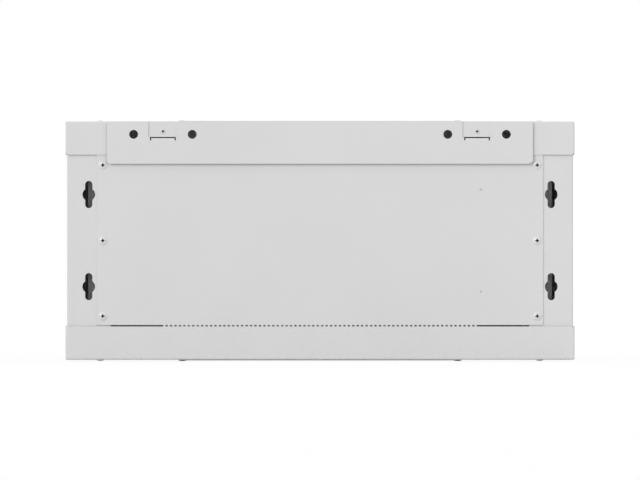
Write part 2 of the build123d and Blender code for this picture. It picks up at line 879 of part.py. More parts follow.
def side_panel():
    """The right side panel, shelled open to the inside, seated on the depth rails with a small clearance."""
    pan = block((rail_outer + flat_seat, side_face), (side_front, side_rear), (side_low, side_high))
    pan = fillet(pan.edges().filter_by(Axis.X), bend_radius)
    pan = fillet(pan.faces().sort_by(Axis.X)[-1].edges(), bend_radius)
    pan = offset(pan, -sheet, openings=pan.faces().sort_by(Axis.X)[0])
    vents = GridLocations(side_vent_row_pitch, side_vent_pitch, side_vent_rows, side_vent_count)
    vent = through(SlotOverall(side_vent_length, side_vent_width), sheet)
    vent_middle = Pos(side_face, (side_front + side_rear) / 2, top - side_vent_drop)
    pan -= [vent_middle * along_x * place * vent for place in vents]
    lock_hole = along_x * hole(side_lock_barrel / 2 + hole_clearance, sheet)
    pan -= Pos(side_face, side_lock_y, side_lock_z) * lock_hole
    for side in left_and_right:
        tab_y = side_lock_y + side * side_tab_spacing / 2
        pan += block(
            (rail_outer - side_tab_reach, rail_outer + 2 * flat_seat),
            (tab_y - side_tab_width / 2, tab_y + side_tab_width / 2),
            (side_low, side_low + sheet),
        )
    return pan


side_panel_right = side_panel()
save("side_panel_right", side_panel_right)
save("side_panel_left", mirror(side_panel_right, about=Plane.YZ))

side_lock_pieces = {
    "barrel": lock_barrel(
        side_lock_head, side_lock_head_height, side_lock_barrel, side_lock_plug, side_lock_length
    ),
    "nut": lock_nut(side_lock_barrel, sheet),
    "plug": lock_plug(side_lock_head_height, side_lock_plug, side_lock_length),
    "cam": Rot(0, 0, 90) * lock_cam(side_lock_plug, side_lock_length, side_cam_length),
    "cam_screw": cam_screw(side_lock_length),
}
side_outwards = Pos(side_face, side_lock_y, side_lock_z) * along_x
for name, piece in side_lock_pieces.items():
    placed = side_outwards * piece
    save(f"side_lock_{name}_right", placed)
    save(f"side_lock_{name}_left", mirror(placed, about=Plane.YZ))


# Door. A folded frame with a glazed window, vent slots at both sides and a lock on the right.

door_half = side_face
door_low = bottom + door_clear
door_high = top - door_clear
door_back = door_face + door_depth
window_width = 2 * (door_half - door_side_strip)
window_height = door_high - door_low - 2 * door_end_strip


def facing_front(sketch, y, thickness):
    """A flat shape standing upright behind y, as thick as given towards the case."""
    return Pos(0, y + thickness, middle) * along_y * extrude(sketch, thickness)


def door_frame():
    """The door: a pan closed all round by lips, with its window, vents, lock hole and hinge pin holes."""
    frame = block((-door_half, door_half), (door_face, door_back), (door_low, door_high))
    frame = fillet(frame.edges().filter_by(Axis.Y), bend_radius)
    frame = fillet(frame.faces().sort_by(Axis.Y)[0].edges(), bend_radius)
    inside = block(
        (-door_half + sheet, door_half - sheet),
        (door_face + sheet, door_back - sheet),
        (door_low + sheet, door_high - sheet),
    )
    opening = block(
        (-door_half + door_lip, door_half - door_lip),
        (door_back - 2 * sheet, door_back + sheet),
        (door_low + door_lip, door_high - door_lip),
    )
    window = RectangleRounded(window_width, window_height, door_window_corner)
    frame -= inside
    frame -= opening
    frame -= Pos(0, door_face, middle) * along_y * through(window, sheet)
    vent = along_y * through(SlotOverall(door_vent_length, door_vent_width), sheet)
    for side in left_and_right:
        column = side * (door_half - door_vent_inset)
        rows = GridLocations(0, door_vent_pitch, 1, door_vent_count)
        frame -= [Pos(column, door_face, middle + row.position.Y) * vent for row in rows]
    lock_hole = along_y * hole(door_lock_barrel / 2 + hole_clearance, sheet)
    frame -= Pos(door_lock_x, door_face, middle) * lock_hole
    frame -= Pos(hinge_x, hinge_y) * hole(hinge_pin_diameter / 2 + running_clearance, body_height)
    return frame


glass_width = window_width + 2 * glass_overlap
glass_height = window_height + 2 * glass_overlap
pane = RectangleRounded(glass_width, glass_height, door_window_corner)
tape_ring = pane - RectangleRounded(window_width, window_height, door_window_corner)
save("door_frame", door_frame())
save("door_glass_tape", facing_front(tape_ring, door_face + sheet, tape_thickness))
save("door_glass", facing_front(pane, door_face + sheet + tape_thickness, glass_thickness))

door_lock_length = post_front + post_sheet - door_face
door_outwards = Pos(door_lock_x, door_face, middle) * along_y
door_lock_pieces = {
    "barrel": lock_barrel(
        door_lock_head, door_lock_head_height, door_lock_barrel, door_lock_plug, door_lock_length
    ),
    "nut": lock_nut(door_lock_barrel, sheet),
    "plug": lock_plug(door_lock_head_height, door_lock_plug, door_lock_length),
    "cam": Rot(0, 0, -90) * lock_cam(door_lock_plug, door_lock_length, door_cam_length),
    "cam_screw": cam_screw(door_lock_length),
}
for name, piece in door_lock_pieces.items():
    save(f"door_lock_{name}", door_outwards * piece)


# Hinge. The door turns on two pins in nylon bushes; the upper one is pulled down to take the door off.

pin_radius = hinge_pin_diameter / 2
at_hinge = Pos(hinge_x, hinge_y, 0)


def bush():
    """A flanged bush hanging in an ear from z = 0, its flange on the door's side."""
    bore = pin_radius + running_clearance
    return turned(
        (bore, 0),
        (bore + bush_wall, 0),
        (bore + bush_wall, -sheet),
        (bore + bush_flange_wall, -sheet),
        (bore + bush_flange_wall, -sheet - bush_flange),
        (bore, -sheet - bush_flange),
    )


def lower_pin():
    """The fixed lower pin, with a collar on the inside of the door's lower flange."""
    seat = door_low + sheet
    return turned(
        (0, bottom + flat_seat),
        (pin_radius, bottom + flat_seat),
        (pin_radius, seat),
        (pin_collar_radius, seat),
        (pin_collar_radius, seat + pin_collar),
        (0, seat + pin_collar),
    )


guide_top = door_high - guide_drop
collar_top = door_high - sheet - flat_seat
spring_low = guide_top
spring_high = collar_top - pin_collar


def upper_pin():
    """The sprung upper pin with its collar and the lug by which it is pulled down."""
    shaft = turned(
        (0, guide_top - post_sheet - pin_release - lug_drop - lug_radius),
        (pin_radius, guide_top - post_sheet - pin_release - lug_drop - lug_radius),
        (pin_radius, spring_high),
        (pin_collar_radius, spring_high),
        (pin_collar_radius, collar_top),
        (pin_radius, collar_top),
        (pin_radius, top - flat_seat),
        (0, top - flat_seat),
    )
    lug_z = guide_top - post_sheet - lug_drop
    lug = Pos(lug_length / 2, 0, lug_z) * along_x * Cylinder(lug_radius, lug_length)
    return shaft + lug


def pin_guide():
    """The bracket inside the door that guides the upper pin, with a leg on the door's side and a plate."""
    inner_side = -door_half + sheet
    plate_y = (door_face + sheet + flat_seat, door_back - sheet - flat_seat)
    line = [
        (inner_side, guide_top - guide_height),
        (inner_side, guide_top),
        (inner_side + guide_width, guide_top),
    ]
    wire = offset(FilletPolyline(*line, radius=bend_radius), post_sheet, side=Side.RIGHT, closed=True)
    bracket = extrude(Plane.XZ.offset(-plate_y[1]) * make_face(wire), plate_y[1] - plate_y[0])
    return bracket - at_hinge * hole(pin_radius + running_clearance, body_height)


def pin_spring():
    """The coil spring between the guide and the collar, ground square at its ends by its own clearance."""
    mean_radius = (pin_radius + pin_collar_radius) / 2
    length = spring_high - spring_low - spring_wire - 2 * thread_clearance
    path = Helix(length / spring_turns, length, mean_radius)
    start = path @ 0
    wire = Plane(origin=start, z_dir=path % 0) * RegularPolygon(spring_wire / 2, 6)
    return Pos(0, 0, spring_low + spring_wire / 2 + thread_clearance) * sweep(wire, path=path, is_frenet=True)


save("hinge_bush_top", at_hinge * Pos(0, 0, top) * bush())
save("hinge_bush_bottom", at_hinge * Pos(0, 0, bottom) * upside_down * bush())
save("hinge_pin_lower", at_hinge * lower_pin())
save("hinge_pin_upper", at_hinge * upper_pin())
save("hinge_pin_guide", pin_guide())
save("hinge_pin_spring", at_hinge * pin_spring())


# Small parts on the trays: the door's rubber bumpers and the earthing stud.


def bumper():
    """A rubber bumper along +Z, its stem in the tray's flange below z = 0."""
    height = door_gap - flat_seat
    return turned(
        (0, -sheet),
        (bumper_stem_radius, -sheet),
        (bumper_stem_radius, 0),
        (bumper_radius, 0),
        (bumper_radius - tip_chamfer, height),
        (0, height),
    )


def earth_stud():
    """The earthing stud: its head is pressed flush into the bottom tray and its thread stands up inside."""
    return turned((0, 0), (earth_thread / 2, 0), (earth_thread / 2, earth_length), (0, earth_length))


bumper_heights = (bottom + tray_flange / 2, top - tray_flange / 2)
earth_place = Pos(earth_x, tray_rear - earth_inset, bottom)
bumper_places = [(side * bumper_x, z) for side in left_and_right for z in bumper_heights]
save("door_bumpers", *[Pos(x, tray_front, z) * along_y * bumper() for x, z in bumper_places])
save("earth_stud", earth_place * earth_stud())
earth_nut = hex_nut(earth_nut_width, earth_nut_height, earth_thread + 2 * thread_clearance)
save("earth_nut", earth_place * Pos(0, 0, sheet) * earth_nut)
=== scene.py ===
import bpy
from math import cos, pi, radians, sin, sqrt
from mathutils import Matrix, Vector


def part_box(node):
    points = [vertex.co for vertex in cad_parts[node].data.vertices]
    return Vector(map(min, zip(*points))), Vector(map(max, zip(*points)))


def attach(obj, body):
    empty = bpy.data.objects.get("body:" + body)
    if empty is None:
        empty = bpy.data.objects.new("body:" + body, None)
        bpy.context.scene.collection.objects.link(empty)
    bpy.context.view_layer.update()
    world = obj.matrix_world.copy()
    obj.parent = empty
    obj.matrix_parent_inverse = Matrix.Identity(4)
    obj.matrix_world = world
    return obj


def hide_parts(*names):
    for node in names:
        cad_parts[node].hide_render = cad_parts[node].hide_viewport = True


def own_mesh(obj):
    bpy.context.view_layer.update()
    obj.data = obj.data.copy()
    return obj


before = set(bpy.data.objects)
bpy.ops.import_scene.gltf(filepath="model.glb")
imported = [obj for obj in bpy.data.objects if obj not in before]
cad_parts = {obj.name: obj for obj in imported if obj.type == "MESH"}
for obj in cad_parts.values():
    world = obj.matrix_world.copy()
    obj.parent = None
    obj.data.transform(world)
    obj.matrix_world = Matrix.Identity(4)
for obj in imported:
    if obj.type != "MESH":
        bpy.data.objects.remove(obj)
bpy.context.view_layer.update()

# Trays, posts, panels and door skin: the cabinet's bent sheet.
# Cold-rolled steel, folded on a press brake, then sprayed with light-grey polyester powder and baked.
# The powder flows into a fine orange peel, so highlights break up and edges carry a thin bright round.

coat_colour = "#D7D7D7"
coat_shade = "#D2D2D2"
coat_peel_mm = 2.5
coat_grain_mm = 0.6
coat_cloud_mm = 90
coat_peel_depth = 0.00003
coat_grain_depth = 0.000006
coat_edge_radius = 0.0005
coat_edge_samples = 4
coat_smoothest = 0.5
coat_roughest = 0.62
coat_ior = 1.5


def linear(colour):
    """A colour written as sRGB hex, in the linear values that shaders take."""
    values = []
    for start in (1, 3, 5):
        value = int(colour[start : start + 2], 16) / 255
        values.append(value / 12.92 if value <= 0.04045 else ((value + 0.055) / 1.055) ** 2.4)
    return values + [1]


def new_finish(name):
    """A material with nothing in it yet."""
    finish = bpy.data.materials.new(name)
    finish.use_nodes = True
    finish.node_tree.nodes.clear()
    return finish


def add(owner, kind, inputs=None, **settings):
    """Add a node with its settings; each input is given a value or linked to another node's output."""
    node = owner.node_tree.nodes.new("ShaderNode" + kind)
    for name, value in settings.items():
        setattr(node, name, value)
    for name, value in (inputs or {}).items():
        if isinstance(value, bpy.types.NodeSocket):
            owner.node_tree.links.new(value, node.inputs[name])
        else:
            node.inputs[name].default_value = value
    return node


def show(finish, shader):
    """Make the shader what the material shows."""
    add(finish, "OutputMaterial", {"Surface": shader.outputs[0]})
    return finish


def coat(finish, *nodes):
    """Give CAD pieces their finish."""
    for name in nodes:
        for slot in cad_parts[name].material_slots:
            slot.material = finish


powder_coat = new_finish("powder_coated_sheet_steel")
place = add(powder_coat, "TexCoord").outputs["Object"]
cloud = add(powder_coat, "TexNoise", {"Vector": place, "Scale": 1000 / coat_cloud_mm, "Detail": 1.0})
tone = add(
    powder_coat,
    "MixRGB",
    {"Fac": cloud.outputs["Fac"], "Color1": linear(coat_colour), "Color2": linear(coat_shade)},
)
rounded = add(powder_coat, "Bevel", {"Radius": coat_edge_radius}, samples=coat_edge_samples)
peel = add(powder_coat, "TexNoise", {"Vector": place, "Scale": 1000 / coat_peel_mm, "Detail": 1.0})
peel_bump = add(
    powder_coat,
    "Bump",
    {"Height": peel.outputs["Fac"], "Distance": coat_peel_depth, "Normal": rounded.outputs["Normal"]},
)
grain = add(powder_coat, "TexNoise", {"Vector": place, "Scale": 1000 / coat_grain_mm, "Detail": 2.0})
grain_bump = add(
    powder_coat,
    "Bump",
    {"Height": grain.outputs["Fac"], "Distance": coat_grain_depth, "Normal": peel_bump.outputs["Normal"]},
)
sheen = add(
    powder_coat,
    "MapRange",
    {"Value": peel.outputs["Fac"], "To Min": coat_smoothest, "To Max": coat_roughest},
)
show(
    powder_coat,
    add(
        powder_coat,
        "BsdfPrincipled",
        {
            "Base Color": tone.outputs["Color"],
            "Roughness": sheen.outputs["Result"],
            "Normal": grain_bump.outputs["Normal"],
            "IOR": coat_ior,
        },
    ),
)
coat(powder_coat, "top_tray", "bottom_tray", "top_cover_plate", "bottom_cover_plate")
coat(powder_coat, "rear_post_right", "rear_post_left", "front_post_right", "front_post_left")
coat(powder_coat, "back_panel", "rear_top_plate", "side_panel_right", "side_panel_left", "door_frame")
coat(powder_coat, "hinge_pin_guide")

# Depth rails and rack rails.
# Galvanised steel strip, folded but not painted, so that equipment is earthed through it.
# The zinc froze in feathery grains, which show as patches of lighter and darker grey.

spangle_mm = 7
spangle_light = "#BFC2C4"
spangle_dark = "#A3A7AA"
spangle_relief = 0.00002
spangle_feather = 0.004
spangle_smoothest = 0.28
spangle_roughest = 0.46
strip_edge_radius = 0.0003

galvanised = new_finish("galvanised_steel_strip")
place = add(galvanised, "TexCoord").outputs["Object"]
stir = add(galvanised, "TexNoise", {"Vector": place, "Scale": 1000 / spangle_mm, "Detail": 2.0})
bent = add(
    galvanised,
    "VectorMath",
    {0: stir.outputs["Color"], 1: (spangle_feather, spangle_feather, spangle_feather)},
    operation="MULTIPLY",
)
stirred = add(galvanised, "VectorMath", {0: place, 1: bent.outputs[0]}, operation="ADD")
grains = add(galvanised, "TexVoronoi", {"Vector": stirred.outputs[0], "Scale": 1000 / spangle_mm})
grey = add(galvanised, "SeparateColor", {"Color": grains.outputs["Color"]})
tone = add(
    galvanised,
    "MixRGB",
    {"Fac": grey.outputs[0], "Color1": linear(spangle_dark), "Color2": linear(spangle_light)},
)
rounded = add(galvanised, "Bevel", {"Radius": strip_edge_radius}, samples=coat_edge_samples)
relief = add(
    galvanised,
    "Bump",
    {"Height": grains.outputs["Distance"], "Distance": spangle_relief, "Normal": rounded.outputs["Normal"]},
)
sheen = add(
    galvanised,
    "MapRange",
    {"Value": grey.outputs[1], "To Min": spangle_smoothest, "To Max": spangle_roughest},
)
show(
    galvanised,
    add(
        galvanised,
        "BsdfPrincipled",
        {
            "Base Color": tone.outputs["Color"],
            "Metallic": 1.0,
            "Roughness": sheen.outputs["Result"],
            "Normal": relief.outputs["Normal"],
        },
    ),
)
coat(galvanised, "depth_rail_top_right", "depth_rail_top_left", "depth_rail_bottom_right")
coat(galvanised, "depth_rail_bottom_left", "front_rack_rail_right", "front_rack_rail_left")
coat(galvanised, "rear_rack_rail_right", "rear_rack_rail_left")

# Unit numbers.
# Plain figures 1 to 4 screen-printed in black ink beside the holes of the front rack rails,
# one to each height unit, counted from the bottom.

unit_height = 0.04445
units = 4
figure_height = 0.006
ink_thickness = 0.00005
figure_shift = 0.006
ink_colour = "#1B1B1C"
ink_screen_mm = 0.4
ink_smoothest = 0.5
ink_roughest = 0.75

ink = new_finish("screen_printed_black_ink")
place = add(ink, "TexCoord").outputs["Object"]
screen = add(ink, "TexNoise", {"Vector": place, "Scale": 1000 / ink_screen_mm, "Detail": 1.0})
sheen = add(
    ink, "MapRange", {"Value": screen.outputs["Fac"], "To Min": ink_smoothest, "To Max": ink_roughest}
)
show(
    ink,
    add(ink, "BsdfPrincipled", {"Base Color": linear(ink_colour), "Roughness": sheen.outputs["Result"]}),
)


def alone(piece):
    """Select one piece and nothing else, ready for an operator."""
    bpy.ops.object.select_all(action="DESELECT")
    piece.select_set(True)
    bpy.context.view_layer.objects.active = piece


rack_low, rack_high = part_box("front_rack_rail_right")
rack_middle = (rack_low.z + rack_high.z) / 2
for side, word in ((1, "right"), (-1, "left")):
    for unit in range(units):
        height = rack_middle + (unit + 1 / 2 - units / 2) * unit_height
        across = side * ((rack_low.x + rack_high.x) / 2 + figure_shift)
        bpy.ops.object.select_all(action="DESELECT")
        bpy.ops.object.text_add(location=(across, rack_low.y, height), rotation=(pi / 2, 0, 0))
        figure = bpy.context.object
        figure.data.body = str(unit + 1)
        figure.data.size = figure_height
        figure.data.extrude = ink_thickness / 2
        figure.data.align_x = "CENTER"
        figure.data.align_y = "CENTER"
        alone(figure)
        bpy.ops.object.convert(target="MESH")
        bpy.ops.object.transform_apply()
        figure = bpy.context.object
        figure.name = f"unit_figure_{word}_{unit + 1}"
        figure.data.materials.append(ink)
        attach(figure, "case")

# Back panel screws.
# Pan-head machine screws with a cross recess, driven through the panel into the posts.
# Their heads are enamelled light grey: a smooth crown with a sharp highlight, round a recess painted
# near-black as painted shade.

panel_screw_head = 0.011
panel_screw_rise = 0.0022
panel_screw_thread = 0.005
panel_screw_length = 0.010
panel_screw_recess = 0.0046
screw_facets = 48
facing_along = 0.9
crown_steps = (0.97, 0.92, 0.82, 0.68, 0.5, 0.3)
rim_share = 0.1
thread_core = 0.86
pitches_per_width = 6
recess_depth = 0.6
recess_taper = 0.5
recess_overshoot = 0.05
wing_share = 0.34
core_share = 0.62
head_edge_share = 0.008
skin_share = 1 / 40
deep_recess_share = 1 / 3
softened_from = radians(40)
enamel_colour = "#D6D7D7"
enamel_flow_mm = 1.5
enamel_flow_depth = 0.00001
enamel_smoothest = 0.14
enamel_roughest = 0.22
# The recess colour is near-black painted shade for the inside of screw recesses; the grit sets only its
# roughness.
recess_painted_shade_colour = "#2E2F31"
recess_grit_mm = 0.3
recess_smoothest = 0.45
recess_roughest = 0.65


def pick_faces(piece, wanted):
    """Select, in edit mode, the faces that lie as wanted."""
    alone(piece)
    bpy.ops.object.mode_set(mode="EDIT")
    bpy.context.tool_settings.mesh_select_mode = (False, False, True)
    bpy.ops.mesh.select_all(action="DESELECT")
    bpy.ops.object.mode_set(mode="OBJECT")
    for face in piece.data.polygons:
        face.select = wanted(face.center, face.normal)
    bpy.ops.object.mode_set(mode="EDIT")


def cut(piece, cutter, operation="DIFFERENCE"):
    """Cut one piece with another, which is used up."""
    alone(piece)
    boolean = piece.modifiers.new("cut", "BOOLEAN")
    boolean.operation = operation
    boolean.object = cutter
    bpy.ops.object.modifier_apply(modifier=boolean.name)
    bpy.data.objects.remove(cutter)


def soften(piece, width):
    """Round the sharp edges and shade what is round as smooth."""
    alone(piece)
    bevel = piece.modifiers.new("rounded_edges", "BEVEL")
    bevel.width = width
    bevel.segments = 2
    bevel.limit_method = "ANGLE"
    bevel.angle_limit = softened_from
    bpy.ops.object.modifier_apply(modifier=bevel.name)
    bpy.ops.object.shade_smooth_by_angle(angle=softened_from)


def cross_head_screw(head, rise, thread, length, recess, finish, recess_finish):
    """A pan-head screw, its seat at z = 0, with a thread below and a cross recess in its crown."""
    rim = rise * rim_share
    crown = ((head / 2) ** 2 + (rise - rim) ** 2) / (2 * (rise - rim))
    bpy.ops.object.select_all(action="DESELECT")
    bpy.ops.mesh.primitive_cylinder_add(
        vertices=screw_facets, radius=head / 2, depth=rim, location=(0, 0, rim / 2)
    )
    screw = bpy.context.object
    bpy.ops.object.transform_apply()
    pick_faces(screw, lambda centre, normal: normal.z > facing_along)
    radius, height = head / 2, rim
    for share in crown_steps:
        next_radius = share * head / 2
        next_height = rise - crown + sqrt(crown**2 - next_radius**2)
        bpy.ops.mesh.inset(thickness=radius - next_radius, depth=next_height - height)
        radius, height = next_radius, next_height
    bpy.ops.object.mode_set(mode="OBJECT")
    pick_faces(screw, lambda centre, normal: normal.z < -facing_along)
    bpy.ops.mesh.inset(thickness=(head - thread) / 2)
    pitch = thread / pitches_per_width
    depth = 0
    while depth > -length + pitch:
        for scale in (thread_core, 1 / thread_core):
            bpy.ops.mesh.extrude_region_move(TRANSFORM_OT_translate={"value": (0, 0, -pitch / 2)})
            depth -= pitch / 2
            bpy.ops.transform.resize(value=(scale, scale, 1), center_override=(0, 0, depth))
    bpy.ops.object.mode_set(mode="OBJECT")
    mouth = rise + recess * recess_overshoot
    floor_height = rise - recess * recess_depth
    middle = (0, 0, (mouth + floor_height) / 2)
    for turn in (0, pi / 2):
        bpy.ops.object.select_all(action="DESELECT")
        bpy.ops.mesh.primitive_cube_add(
            size=1,
            location=middle,
            rotation=(0, 0, turn),
            scale=(recess, recess * wing_share, mouth - floor_height),
        )
        wing = bpy.context.object
        bpy.ops.object.transform_apply()
        pick_faces(wing, lambda centre, normal: normal.z < -facing_along)
        bpy.ops.transform.resize(value=(recess_taper, recess_taper, 1))
        bpy.ops.object.mode_set(mode="OBJECT")
        cut(screw, wing)
    bpy.ops.object.select_all(action="DESELECT")
    bpy.ops.mesh.primitive_cone_add(
        vertices=screw_facets // 2,
        radius1=recess * core_share * recess_taper / 2,
        radius2=recess * core_share / 2,
        depth=mouth - floor_height,
        location=middle,
    )
    core = bpy.context.object
    bpy.ops.object.transform_apply()
    cut(screw, core)
    soften(screw, head * head_edge_share)
    screw.data.materials.append(finish)
    screw.data.materials.append(recess_finish)
    # Faces inside the recess take the second finish, which on enamelled and coated screws is near-black
    # painted shade.
    skin = rise * skin_share
    for face in screw.data.polygons:
        reach = face.center.xy.length
        surface = rise - crown + sqrt(max(crown**2 - reach**2, 0))
        widest = recess / 2 if face.center.z > 0 else thread * deep_recess_share
        if reach < widest and floor_height - skin < face.center.z < surface - skin:
            face.material_index = 1
    return screw


def place_copies(pattern, name, places, body, node):
    """Put a copy of a piece, with its own mesh, at each place, and let it stand for a CAD group."""
    for number, spot in enumerate(places, start=1):
        piece = pattern.copy()
        piece.data = pattern.data.copy()
        piece.name = f"{name}_{number}"
        piece.data.transform(spot)
        bpy.context.collection.objects.link(piece)
        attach(piece, body)
        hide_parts(node)
    bpy.data.objects.remove(pattern)


enamel = new_finish("enamelled_screw_heads")
place = add(enamel, "TexCoord").outputs["Object"]
flow = add(enamel, "TexNoise", {"Vector": place, "Scale": 1000 / enamel_flow_mm, "Detail": 1.0})
sheen = add(
    enamel,
    "MapRange",
    {"Value": flow.outputs["Fac"], "To Min": enamel_smoothest, "To Max": enamel_roughest},
)
bump = add(enamel, "Bump", {"Height": flow.outputs["Fac"], "Distance": enamel_flow_depth})
show(
    enamel,
    add(
        enamel,
        "BsdfPrincipled",
        {
            "Base Color": linear(enamel_colour),
            "Roughness": sheen.outputs["Result"],
            "Normal": bump.outputs["Normal"],
        },
    ),
)
# Near-black painted shade for the inside of screw recesses, with a grit-varied roughness.
recess_shade = new_finish("recess_painted_shade")
place = add(recess_shade, "TexCoord").outputs["Object"]
grit = add(recess_shade, "TexNoise", {"Vector": place, "Scale": 1000 / recess_grit_mm, "Detail": 2.0})
sheen = add(
    recess_shade,
    "MapRange",
    {"Value": grit.outputs["Fac"], "To Min": recess_smoothest, "To Max": recess_roughest},
)
show(
    recess_shade,
    add(
        recess_shade,
        "BsdfPrincipled",
        {"Base Color": linear(recess_painted_shade_colour), "Roughness": sheen.outputs["Result"]},
    ),
)
to_wall = Matrix.Rotation(-pi / 2, 4, "X")
low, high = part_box("back_panel_screws")
reach = panel_screw_head / 2
seat = high.y - panel_screw_rise
places = [
    Matrix.Translation((x, seat, z)) @ to_wall
    for x in (low.x + reach, high.x - reach)
    for z in (low.z + reach, (low.z + high.z) / 2, high.z - reach)
]
screw = cross_head_screw(
    panel_screw_head,
    panel_screw_rise,
    panel_screw_thread,
    panel_screw_length,
    panel_screw_recess,
    enamel,
    recess_shade,
)
place_copies(screw, "back_panel_screw", places, "case", "back_panel_screws")

# Pad screws of the rear top plate.
# Two small screws of the same kind, in the pads that are pressed inwards.
# Their heads are coated like the plate, and the recess is painted near-black as painted shade.

pad_screw_head = 0.0064
pad_screw_rise = 0.0014
pad_screw_thread = 0.003
pad_screw_length = 0.006
pad_screw_recess = 0.0037

low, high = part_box("rear_top_plate_screws")
reach = pad_screw_head / 2
places = [
    Matrix.Translation((x, high.y - pad_screw_rise, (low.z + high.z) / 2)) @ to_wall
    for x in (low.x + reach, high.x - reach)
]
screw = cross_head_screw(
    pad_screw_head,
    pad_screw_rise,
    pad_screw_thread,
    pad_screw_length,
    pad_screw_recess,
    powder_coat,
    recess_shade,
)
place_copies(screw, "pad_screw", places, "case", "rear_top_plate_screws")

# Top tray, open behind the pads.
# The folded tray, with a window punched through its rear flange behind the slot of each screw pad.
# The slots therefore look into the dark case, as a thin black outline under each pad.

pad_spacing = 0.3702
pad_window_width = 0.034
pad_window_height = 0.006
pad_window_drop = 0.0176
joining_distance = 0.00001
smooth_bend = radians(30)
large_face_weight = 100


def joined_copy(node, name):
    """A copy of a CAD piece, its loose triangles joined up, which stands for that piece."""
    piece = bpy.data.objects.new(name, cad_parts[node].data.copy())
    bpy.context.collection.objects.link(piece)
    alone(piece)
    bpy.ops.object.mode_set(mode="EDIT")
    bpy.ops.mesh.select_all(action="SELECT")
    bpy.ops.mesh.remove_doubles(threshold=joining_distance)
    bpy.ops.object.mode_set(mode="OBJECT")
    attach(piece, "case")
    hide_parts(node)
    return piece


def shade_sheet(piece):
    """Shade the bends smoothly and keep the flats flat, by normals weighted with the faces' areas."""
    alone(piece)
    bpy.ops.object.shade_smooth_by_angle(angle=smooth_bend)
    bpy.ops.object.modifier_add(type="WEIGHTED_NORMAL")
    modifier = piece.modifiers[-1]
    modifier.keep_sharp = True
    modifier.weight = large_face_weight
    bpy.ops.object.modifier_apply(modifier=modifier.name)


tray = joined_copy("top_tray", "top_tray_with_windows")
low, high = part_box("top_tray")
for side in (1, -1):
    bpy.ops.object.select_all(action="DESELECT")
    bpy.ops.mesh.primitive_cube_add(
        size=1,
        location=(side * pad_spacing / 2, high.y, high.z - pad_window_drop - pad_window_height / 2),
        scale=(pad_window_width, pad_window_height, pad_window_height),
    )
    punch = bpy.context.object
    bpy.ops.object.transform_apply()
    cut(tray, punch)
shade_sheet(tray)

# Rear top plate and rear posts, with their punched holes.
# Made of the same sheet, and punched before it is bent and coated.
# The punch leaves true round holes with crisp edges, for hooks and wall screws.

round_hole = 0.0104
round_hole_spacing = 0.069
round_hole_drop = 0.0153
keyhole_from_side = 0.0275
keyhole_spacing = 0.1086
keyhole_circle = 0.015
keyhole_slot = 0.0085
keyhole_length = 0.032
rim_cuts = 3
rim_tolerance = 0.00002


def round_the_rim(piece, x, z, radius):
    """Divide the edges of a hole along Y more finely and set their points on its circle."""
    mesh = piece.data

    def reach(point):
        return sqrt((point.x - x) ** 2 + (point.z - z) ** 2)

    def on_rim(edge):
        start, end = (mesh.vertices[number].co for number in edge.vertices)
        along = (end.xz - start.xz).length > rim_tolerance
        return along and all(abs(reach(point) - radius) < rim_tolerance for point in (start, end))

    alone(piece)
    bpy.ops.object.mode_set(mode="EDIT")
    bpy.context.tool_settings.mesh_select_mode = (False, True, False)
    bpy.ops.mesh.select_all(action="DESELECT")
    bpy.ops.object.mode_set(mode="OBJECT")
    for edge in mesh.edges:
        edge.select = on_rim(edge)
    bpy.ops.object.mode_set(mode="EDIT")
    bpy.ops.mesh.subdivide(number_cuts=rim_cuts)
    bpy.ops.object.mode_set(mode="OBJECT")
    for vertex in mesh.vertices:
        if vertex.select:
            scale = radius / reach(vertex.co)
            vertex.co.x = x + (vertex.co.x - x) * scale
            vertex.co.z = z + (vertex.co.z - z) * scale


plate = joined_copy("rear_top_plate", "rear_top_plate_punched")
low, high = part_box("top_tray")
for side in (1, -1):
    for shift in (-round_hole_spacing / 2, round_hole_spacing / 2):
        round_the_rim(plate, side * pad_spacing / 2 + shift, high.z - round_hole_drop, round_hole / 2)
shade_sheet(plate)
for side, word in ((1, "right"), (-1, "left")):
    post = joined_copy(f"rear_post_{word}", f"rear_post_{word}_punched")
    across = side * (high.x - keyhole_from_side)
    centre = (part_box("bottom_tray")[0].z + high.z) / 2
    for height in (centre - keyhole_spacing / 2, centre + keyhole_spacing / 2):
        round_the_rim(post, across, height, keyhole_circle / 2)
        for end in (-1, 1):
            slot_end = height + end * (keyhole_length - keyhole_slot) / 2
            round_the_rim(post, across, slot_end, keyhole_slot / 2)
    shade_sheet(post)

# Screws of the cover plates and of the trays.
# Low pan heads of the same enamelled steel, driven into the trays and through them into the posts.
# They show in profile above and below the trays.

cover_screw_head = 0.0098
cover_screw_rise = 0.0012
cover_screw_thread = 0.004
cover_screw_length = 0.007
tray_screw_head = 0.0102
tray_screw_rise = 0.0015
tray_screw_thread = 0.006
tray_screw_length = 0.009

upside_down = Matrix.Rotation(pi, 4, "X")
screw_kinds = (
    ("cover", cover_screw_head, cover_screw_rise, cover_screw_thread, cover_screw_length),
    ("tray", tray_screw_head, tray_screw_rise, tray_screw_thread, tray_screw_length),
)
for kind, head, rise, thread, length in screw_kinds:
    for level in ("top", "bottom"):
        node = f"{level}_{kind}_screws"
        low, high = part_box(node)
        seat = high.z - rise if level == "top" else low.z + rise
        turn = Matrix.Identity(4) if level == "top" else upside_down
        places = [
            Matrix.Translation((x, y, seat)) @ turn
            for x in (low.x + head / 2, high.x - head / 2)
            for y in (low.y + head / 2, high.y - head / 2)
        ]
        # Their recesses are painted near-black as painted shade, as on the panel screws.
        screw = cross_head_screw(head, rise, thread, length, head / 2, enamel, recess_shade)
        place_copies(screw, f"{level}_{kind}_screw", places, "case", node)

# Bolts and nuts of the rack rails.
# M6 pan-head bolts in the rails' tabs, each with a hexagon nut beyond the depth rail.
# Bright zinc plating: cool silvery grey, slightly cloudy, mirror-like only in small highlights.

